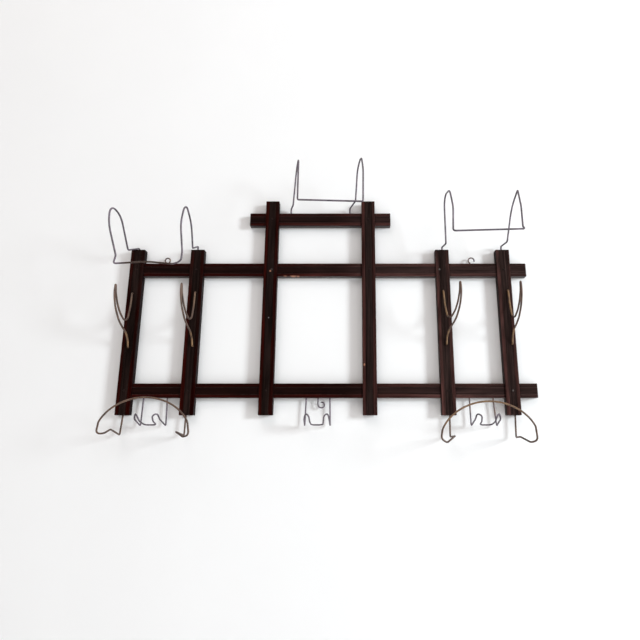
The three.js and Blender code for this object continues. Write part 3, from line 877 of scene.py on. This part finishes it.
# Stretches of a wire with bronze paint, or with tarnish where negative: (from, to, how much), the
# first two as shares of its length
GILDING = {
    "hat_holder_left": [(0.43, 0.57, -1.1)],
    "coat_hook_outer_left": [(0.0, 0.14, 1.0), (0.88, 1.0, 0.2)],
    "coat_hook_inner_left": [(0.0, 0.13, 1.0), (0.85, 1.0, 0.4)],
    "coat_hook_inner_right": [(0.0, 0.15, 0.9), (0.78, 1.0, 1.0)],
    "coat_hook_outer_right": [(0.0, 0.15, 1.1), (0.76, 1.0, 1.0)],
    "brim_holder_left": [(0.36, 0.62, 0.2)],
    "brim_holder_right": [(0.32, 0.64, 0.7)],
    "cane_hook_left": [(0.92, 1.0, 0.4)],
    "cane_hook_right": [(0.0, 0.13, 0.45), (0.86, 1.0, 0.6)],
    "hanging_eye_left": [(0.2, 1.0, 0.6)],
    "hanging_crook_right": [(0.2, 0.8, 0.45)],
}


def add_wire(node, corners, hole_plane, diameter, look, material, passes=3):
    route = wire_route(corners, hole_plane)
    mesh = wire_mesh(node, route, diameter, look, passes, GILDING.get(node, ()))
    wire = put(node + "_wire", mesh, material, "Wire")
    stand_for(wire, node)


GREY_WIRE_RUST, BROWN_WIRE_RUST = 0.30, 0.5


def grey_wire(look):
    return material_once("grey_wire", wire_steel, look.steel_colour, look, GREY_WIRE_RUST)


def brown_wire(look):
    return material_once("brown_wire", wire_steel, look.bronze_colour, look, BROWN_WIRE_RUST)


# The wires' corners are tables in millimetres: (aside, forward, rise) from a hole, and a radius


def from_hole(x, z, corners):
    """Corners given in millimetres from a hole, as places in metres."""
    return [(x + aside / 1000, forward / 1000, z + rise / 1000, *(size / 1000 for size in radius))
            for aside, forward, rise, *radius in corners]


SHANK_BURIED = 17


def two_shanks(holes, z, up, left, right, middle=()):
    """Corners of a wire with both shanks in holes, each side's own counted from its hole."""
    foot = (0, 0, -up * SHANK_BURIED)
    start, end = holes
    return [*from_hole(start, z, [foot, *left]), *middle,
            *reversed(from_hole(end, z, [foot, *right]))]


INNER_HOLE_SHIFT = 0.002
HOLE_X = {
    "outer_left": middle_x("stile_outer_left"),
    "inner_left": middle_x("stile_inner_left") - INNER_HOLE_SHIFT,
    "inner_right": middle_x("stile_inner_right") + INNER_HOLE_SHIFT,
    "outer_right": middle_x("stile_outer_right"),
}
SIDE_FOOT, SIDE_TOP = (corner.z for corner in STILE_BOX)
TOP_RAIL_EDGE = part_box("rail_top")[1].z
MIDDLE_RAIL_EDGE = RAIL_BOX[1].z
BOTTOM_RAIL_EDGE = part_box("rail_bottom")[0].z
CENTRE_HOLDER_SPAN = 0.142

# Hat holders as use has bent them, from each hole to the joining bar
HAT_HOLDERS = {
    "left": (STILE_MIDDLE, two_shanks(
        (HOLE_X["outer_left"], HOLE_X["inner_left"]), SIDE_TOP, 1,
        left=[(0, 0, 6, 2.5), (-11, 36, -12, 4), (-6.5, 97, 46, 60), (-9, 142, 49, 20),
              (-9, 142, 8, 150), (8, 129, -60, 6), (3.5, 127, -77, 3)],
        right=[(0, 0, 11, 2.8), (3.5, 50, -13, 4), (8, 84, 32, 90), (10, 138, 58, 13),
               (3, 138, 10, 120), (8, 129, -51, 25), (6.5, 127, -72, 12), (-10, 127, -78, 15),
               (-62, 127, -73, 90)])),
    "centre": (RAIL_MIDDLE, two_shanks(
        (-CENTRE_HOLDER_SPAN / 2, CENTRE_HOLDER_SPAN / 2), TOP_RAIL_EDGE, 1,
        left=[(0, 0, 15, 3), (8.5, 36, 7.5, 4), (17, 58, 88, 60), (24.5, 91, 99, 14),
              (27, 118, -20, 2.5)],
        right=[(0, 0, 16, 3), (13, 44, 14, 4), (17.5, 64, 86, 50), (25.5, 92, 102, 12),
               (29, 110, 60, 80), (28, 118, -24, 2.5)])),
    "right": (STILE_MIDDLE, two_shanks(
        (HOLE_X["inner_right"], HOLE_X["outer_right"]), SIDE_TOP, 1,
        left=[(0, 0, 9, 3), (0, 48, -1, 4), (-3, 66, 108, 40), (-2, 122, 94, 22),
              (1, 134, 48, 80), (-2.5, 138, -8.5, 4)],
        right=[(0, 0, 11, 3), (0, 47, 4, 4), (11.5, 60, 82, 60), (11, 108, 101, 3),
               (9.5, 124, 55, 90), (4.5, 137.5, 1, 2), (9, 139, -4.5, 2)])),
}

# Coat hooks: (forward of the face, height over the lower hole, radius), from hole to hole
COAT_HOOK_HEIGHT = 126
COAT_HOOK_REACH = 84
COAT_HOOK_DROP = 180
COAT_HOOK_START = 3
COAT_HOOK_BURIED = 10
COAT_HOOK_SIDE = [
    (COAT_HOOK_START, 0, 2.8), (5, 15, 30), (20, 31, 25), (37, 38, 50), (57, 49, 50),
    (76, 71, 60), (87.5, 99, 50), (COAT_HOOK_REACH, 134, 2.4), (80, 104, 40), (70, 84, 50),
    (53, 65, 50), (31, 55, 12), (15, 61.5, 13), (6, 93, 60),
    (COAT_HOOK_START, COAT_HOOK_HEIGHT, 2.8),
]
# Sideways shift of the lower hole, tilt to the upper hole, lean of the tip, and drop of the whole
COAT_HOOKS = {
    "outer_left": (0, -2.6, -0.7, 4),
    "inner_left": (3.8, -2, -4.2, 1.5),
    "inner_right": (1, -2.4, 20.5, -2.5),
    "outer_right": (6.6, -1, 0.7, -3),
}


def coat_hook_corners(stile):
    shift, tilt, lean, drop = COAT_HOOKS[stile]
    slant = lean / (COAT_HOOK_REACH - COAT_HOOK_START)
    corners = [(shift, -COAT_HOOK_BURIED, 0)]
    for forward, rise, radius in COAT_HOOK_SIDE:
        aside = tilt * rise / COAT_HOOK_HEIGHT + slant * (forward - COAT_HOOK_START)
        corners.append((shift + aside, forward, rise, radius))
    corners.append((shift + tilt, -COAT_HOOK_BURIED, COAT_HOOK_HEIGHT))
    return from_hole(middle_x("stile_" + stile), -(COAT_HOOK_DROP + drop) / 1000, corners)


# Brim holders: the shanks' corners, and the arch as (shift, overhang, spring, rise, skew)
BRIM_REACH = 90
ARCH_SHOULDER = 1.2
ARCH_STEPS = 40
ARCH_END = math.radians(15)
BRIM_HOLE_X = {**HOLE_X, "outer_right": HOLE_X["outer_right"] + 0.0035}
BRIM_HOLDERS = {
    "left": {
        "holes": ("outer_left", "inner_left"),
        "left": [(0, 0, -1), (-3, 0, -42, 3), (3, 58, -31, 15), (3, 86, -39.5, 8),
                 (-11, 90, -40, 10)],
        "right": [(0, 0, -1), (-1, 0, -43, 3), (-2, 52, -36, 4), (22, 80, -46, 10),
                  (37, 90, -43, 9)],
        "arch": (12, 23.7, -30, 62, 0),
    },
    "right": {
        "holes": ("inner_right", "outer_right"),
        "left": [(0, 0, -1), (-1, 0, -46, 3), (-0.5, 47, -44.5, 3.5), (-24, 82, -57.5, 9),
                 (-37, 88, -50, 10)],
        "right": [(0, 0, -1), (-1.5, 0, -47, 3), (-6, 42, -46, 10), (0.5, 82, -57, 8),
                  (12.5, 88, -53, 10)],
        "arch": (-12, 25, -42, 66, 3),
    },
}


def arch_corners(holes, arch):
    """Half an oval over both shanks, without its ends, which belong to the bends at the springs."""
    shift, overhang, spring, rise, skew = arch
    half_span = (holes[1] - holes[0]) * 1000 / 2 + overhang
    corners = []
    for step in range(ARCH_STEPS + 1):
        angle = HALF_TURN - ARCH_END - (HALF_TURN - 2 * ARCH_END) * step / ARCH_STEPS
        lift = spring + rise * math.sin(angle) ** ARCH_SHOULDER + skew * math.cos(angle)
        corners.append((shift + half_span * math.cos(angle), BRIM_REACH, lift))
    return from_hole((holes[0] + holes[1]) / 2, SIDE_FOOT, corners)


# Double hooks under the bottom rail: corners of one shank, aside counted inwards from its hole
CANE_HOOK_SPAN = 0.0525
CANE_HOOK_DROP = 60
CANE_HOOK_SIDE = [
    (0, 0, -1), (-1.5, 0, -CANE_HOOK_DROP, 2.4), (-0.5, 38, -47, 10), (2.5, 44, -35.5, 6),
    (10.5, 54, -40, 6), (11.8, 40, -52, 9), (13.5, 15, -58.5, 8.5),
]
LEFT_BAY_X = (middle_x("stile_outer_left") + middle_x("stile_inner_left")) / 2
RIGHT_BAY_X = (middle_x("stile_inner_right") + middle_x("stile_outer_right")) / 2
# Middle of the hook, and sideways lean at its foot in millimetres
CANE_HOOKS = {"left": (LEFT_BAY_X - 0.003, 0), "centre": (0.0, -0.7),
              "right": (RIGHT_BAY_X + 0.003, 2.5)}


def cane_hook_side(side, lean):
    """Corners of one half: side is 1 for the left shank and -1 for the right one."""
    return [(side * inwards - lean * rise / CANE_HOOK_DROP, forward, rise, *radius)
            for inwards, forward, rise, *radius in CANE_HOOK_SIDE]


# Small wires: the hole's place, up or down, the straight neck, and the ring's or spiral's middle,
# first and last radius, start and sweep in degrees
SMALL_WIRE_BURIED = 11
RING_STEPS = 40
SMALL_WIRES = {
    "hanging_eye_left": (
        LEFT_BAY_X - 0.003, MIDDLE_RAIL_EDGE, 1, 1, (0.5, 9.5), (6, 6), (250, -310)),
    "hanging_crook_right": (
        RIGHT_BAY_X - 0.0035, MIDDLE_RAIL_EDGE, 1, 1.5, (2.8, 9.3), (7, 7), (195, -218)),
    "scroll_hook": (
        0.0, BOTTOM_RAIL_EDGE, -1, 11, (8.2, -14), (8.2, 4.6), (180, 300)),
}


def small_wire_corners(x, z, up, neck, middle, radii, turn):
    """A shank in the edge of a rail, and the ring or spiral on it, in the plane of the wall."""
    corners = [(0, 0, -up * SMALL_WIRE_BURIED), (0, 0, up * neck)]
    for step in range(RING_STEPS + 1):
        angle = math.radians(turn[0] + turn[1] * step / RING_STEPS)
        radius = radii[0] + (radii[1] - radii[0]) * step / RING_STEPS
        corners.append((middle[0] + radius * math.cos(angle), 0,
                        middle[1] + radius * math.sin(angle)))
    return from_hole(x, z, corners)


# Stage


SENSOR_WIDTH = 36.0


def place_camera(scene, look):
    data = bpy.data.cameras.new("photograph")
    data.lens = look.lens
    data.sensor_width = SENSOR_WIDTH
    data.shift_x = look.shift
    camera = bpy.data.objects.new("photograph", data)
    camera.location = look.camera_place
    camera.rotation_euler = (HALF_TURN / 2 + look.camera_tilt, 0.0, 0.0)
    scene.collection.objects.link(camera)
    scene.camera = camera


# Light that leaves the rack's back meets the wall within this distance
CONTACT_GAP = 0.006
FAINTLY_DARKER = 0.985


def wall_paint(name, look):
    """Matt wall paint, faintly mottled.

    From behind it lets the eye through, and at close range it lets light to the rack's back.
    """
    paint = Recipe(bpy.data.materials.new(name))
    solid = paint.add("TexCoord").outputs["Object"]
    mottle = paint.noise(solid, 3.0, 3.0, 0.5)
    roller = paint.noise(solid, 260.0, 2.0, 0.5)
    tone = paint.mix(paint.ramp(mottle, 0.3, 0.7), rgba(look.wall_colour, FAINTLY_DARKER),
                     rgba(look.wall_colour))
    paint.set(Base_Color=tone, Roughness=0.9, Specular_IOR_Level=0.2,
              Normal=paint.bump(roller, 0.06, 0.0005))
    behind = paint.add("NewGeometry").outputs["Backfacing"]
    ray_length = paint.add("LightPath").outputs["Ray Length"]
    touching = paint.math("LESS_THAN", ray_length, CONTACT_GAP)
    clear = paint.add("BsdfTransparent").outputs["BSDF"]
    see_through = paint.math("MAXIMUM", behind, touching)
    cover = paint.add("MixShader", {0: see_through, 1: paint.shader.outputs["BSDF"], 2: clear})
    paint.feed(cover.outputs["Shader"], paint.nodes["Material Output"].inputs["Surface"])
    return paint.owner


WALL_Y = 0.0006
FLOOR_Z = -1.25
COVE = 0.25
COVE_STEPS = 12
ROOM_TOP = 2.6
ROOM_SIDE = 4.0
ROOM_FRONT = -4.5


def place_room(look):
    """A wall just behind the rack that turns in a soft cove into the floor."""
    line = [(WALL_Y, ROOM_TOP), (WALL_Y, FLOOR_Z + COVE)]
    for step in range(1, COVE_STEPS + 1):
        angle = HALF_TURN / 2 * step / COVE_STEPS
        line.append((WALL_Y - COVE + COVE * math.cos(angle),
                     FLOOR_Z + COVE - COVE * math.sin(angle)))
    line.append((ROOM_FRONT, FLOOR_Z))
    made = bmesh.new()
    rims = [[made.verts.new((x, y, z)) for x in (-ROOM_SIDE, ROOM_SIDE)] for y, z in line]
    for face in skin(made, rims):
        face.smooth = True
    mesh = finished_mesh(made, "room", outward=False)
    if mesh.polygons[0].normal.y > 0:
        mesh.flip_normals()
    room = put("room", mesh, wall_paint("wall_paint", look), "Stage")


RACK_MIDDLE = Vector((0.0, 0.0, -0.05))
WINDOW_PLACE, WINDOW_SIZE = (4.5, -2.62, 0.70), (1.05, 1.2)
CEILING_PLACE, CEILING_SIZE = (-1.0, -2.9, 3.0), (2.5, 2.5)


def add_lamp(name, place, size, power, light):
    """A rectangular lamp that looks at the rack."""
    data = bpy.data.lights.new(name, "AREA")
    data.shape = "RECTANGLE"
    data.size, data.size_y = size
    data.energy = power
    data.color = light
    lamp = bpy.data.objects.new(name, data)
    lamp.location = place
    lamp.rotation_euler = (RACK_MIDDLE - Vector(place)).to_track_quat("-Z", "Y").to_euler()
    collection_of("Stage").objects.link(lamp)


def place_lights(scene, look):
    """A large window to the right, light from the ceiling and the even light of a pale room."""
    add_lamp("window", WINDOW_PLACE, WINDOW_SIZE, look.key_power, look.window_colour)
    add_lamp("ceiling", CEILING_PLACE, CEILING_SIZE, look.ceiling_power, look.room_colour)
    room = Recipe(bpy.data.worlds.new("pale_room"), "Background")
    # Pale where it's looked at or mirrored, and otherwise a light at the room's level
    ray = room.add("LightPath").outputs
    seen = ray["Is Camera Ray"]
    for kind in ("Is Glossy Ray", "Is Transmission Ray"):
        seen = room.math("MAXIMUM", seen, ray[kind])
    room.set(Color=rgba(look.room_colour),
             Strength=room.ramp(seen, 0.0, 1.0, look.room_light, look.backdrop_light))
    scene.world = room.owner


# Operators


class HATRACK_OT_stiles(bpy.types.Operator):
    """Build the six grooved uprights, let over the rails"""
    bl_idname = "hat_rack.stiles"
    bl_label = "Build the Stiles"

    def execute(self, context):
        build_slats(STILES, context.scene.hat_rack_wood)
        return {"FINISHED"}


class HATRACK_OT_rails(bpy.types.Operator):
    """Build the three grooved rails with their halvings"""
    bl_idname = "hat_rack.rails"
    bl_label = "Build the Rails"

    def execute(self, context):
        build_slats(RAILS, context.scene.hat_rack_wood)
        return {"FINISHED"}


class HATRACK_OT_nails(bpy.types.Operator):
    """Drive one nail through each crossing"""
    bl_idname = "hat_rack.nails"
    bl_label = "Drive the Nails"

    def execute(self, context):
        material = material_once("nail_steel", nail_steel)
        for name in NAILS:
            nail = put(name + "_head", nail_mesh(name), material, "Nails")
            stand_for(nail, name)
        return {"FINISHED"}


class HATRACK_OT_hat_holders(bpy.types.Operator):
    """Bend the three hat holders"""
    bl_idname = "hat_rack.hat_holders"
    bl_label = "Bend the Hat Holders"

    def execute(self, context):
        look = context.scene.hat_rack_wire
        for name, (plane, corners) in HAT_HOLDERS.items():
            add_wire("hat_holder_" + name, corners, plane, look.hat_diameter, look,
                     grey_wire(look))
        return {"FINISHED"}


class HATRACK_OT_coat_hooks(bpy.types.Operator):
    """Bend the four coat hooks on the faces of the side stiles"""
    bl_idname = "hat_rack.coat_hooks"
    bl_label = "Bend the Coat Hooks"

    def execute(self, context):
        look = context.scene.hat_rack_wire
        for stile in COAT_HOOKS:
            add_wire("coat_hook_" + stile, coat_hook_corners(stile), STILE_FACE,
                     look.coat_diameter, look, brown_wire(look), passes=2)
        return {"FINISHED"}


class HATRACK_OT_brim_holders(bpy.types.Operator):
    """Bend the two arched brim holders under the side stiles"""
    bl_idname = "hat_rack.brim_holders"
    bl_label = "Bend the Brim Holders"

    def execute(self, context):
        look = context.scene.hat_rack_wire
        for name, holder in BRIM_HOLDERS.items():
            holes = [BRIM_HOLE_X[hole] for hole in holder["holes"]]
            corners = two_shanks(holes, SIDE_FOOT, -1, holder["left"], holder["right"],
                                 middle=arch_corners(holes, holder["arch"]))
            add_wire("brim_holder_" + name, corners, STILE_MIDDLE, look.hat_diameter, look,
                     brown_wire(look))
        return {"FINISHED"}


class HATRACK_OT_cane_hooks(bpy.types.Operator):
    """Bend the three double hooks under the bottom rail"""
    bl_idname = "hat_rack.cane_hooks"
    bl_label = "Bend the Cane Hooks"

    def execute(self, context):
        look = context.scene.hat_rack_wire
        for name, (x, lean) in CANE_HOOKS.items():
            holes = (x - CANE_HOOK_SPAN / 2, x + CANE_HOOK_SPAN / 2)
            corners = two_shanks(holes, BOTTOM_RAIL_EDGE, -1,
                                 cane_hook_side(1, lean), cane_hook_side(-1, lean))
            add_wire("cane_hook_" + name, corners, RAIL_MIDDLE, look.cane_diameter, look,
                     grey_wire(look))
        return {"FINISHED"}


class HATRACK_OT_small_wires(bpy.types.Operator):
    """Bend the hanging eye, the hanging crook and the scroll"""
    bl_idname = "hat_rack.small_wires"
    bl_label = "Bend the Small Wires"

    def execute(self, context):
        look = context.scene.hat_rack_wire
        for node, wire in SMALL_WIRES.items():
            add_wire(node, small_wire_corners(*wire), RAIL_MIDDLE, look.small_diameter, look,
                     grey_wire(look), passes=2)
        return {"FINISHED"}


class HATRACK_OT_stage(bpy.types.Operator):
    """Set the wall, the floor, the lights and the camera"""
    bl_idname = "hat_rack.stage"
    bl_label = "Set the Stage"

    def execute(self, context):
        look = context.scene.hat_rack_stage
        place_camera(context.scene, look)
        place_room(look)
        place_lights(context.scene, look)
        context.scene.view_settings.view_transform = "Standard"
        return {"FINISHED"}


class HATRACK_PT_panel(bpy.types.Panel):
    """The rack's pieces in the order in which they are made"""
    bl_idname = "HATRACK_PT_panel"
    bl_label = "Wall Hat Rack"
    bl_space_type = "VIEW_3D"
    bl_region_type = "UI"
    bl_category = "Hat Rack"

    def draw(self, context):
        layout = self.layout
        scene = context.scene
        for title, look in (("Wood", scene.hat_rack_wood), ("Wire", scene.hat_rack_wire),
                            ("Stage", scene.hat_rack_stage)):
            box = layout.box()
            box.label(text=title)
            for name in look.bl_rna.properties.keys():
                if name not in ("rna_type", "name"):
                    box.prop(look, name)
        for operator in BUILD_ORDER:
            layout.operator(operator.bl_idname)


BUILD_ORDER = (
    HATRACK_OT_stage,
    HATRACK_OT_rails,
    HATRACK_OT_stiles,
    HATRACK_OT_nails,
    HATRACK_OT_hat_holders,
    HATRACK_OT_coat_hooks,
    HATRACK_OT_brim_holders,
    HATRACK_OT_cane_hooks,
    HATRACK_OT_small_wires,
)
SETTINGS = (HatRackWood, HatRackWire, HatRackStage)


def register():
    for kind in SETTINGS + BUILD_ORDER + (HATRACK_PT_panel,):
        bpy.utils.register_class(kind)
    bpy.types.Scene.hat_rack_wood = PointerProperty(type=HatRackWood)
    bpy.types.Scene.hat_rack_wire = PointerProperty(type=HatRackWire)
    bpy.types.Scene.hat_rack_stage = PointerProperty(type=HatRackStage)


def unregister():
    del bpy.types.Scene.hat_rack_stage
    del bpy.types.Scene.hat_rack_wire
    del bpy.types.Scene.hat_rack_wood
    for kind in reversed(SETTINGS + BUILD_ORDER + (HATRACK_PT_panel,)):
        bpy.utils.unregister_class(kind)


def main():
    register()
    for operator in BUILD_ORDER:
        group, name = operator.bl_idname.split(".")
        getattr(getattr(bpy.ops, group), name)()


if __name__ == "__main__":
    main()
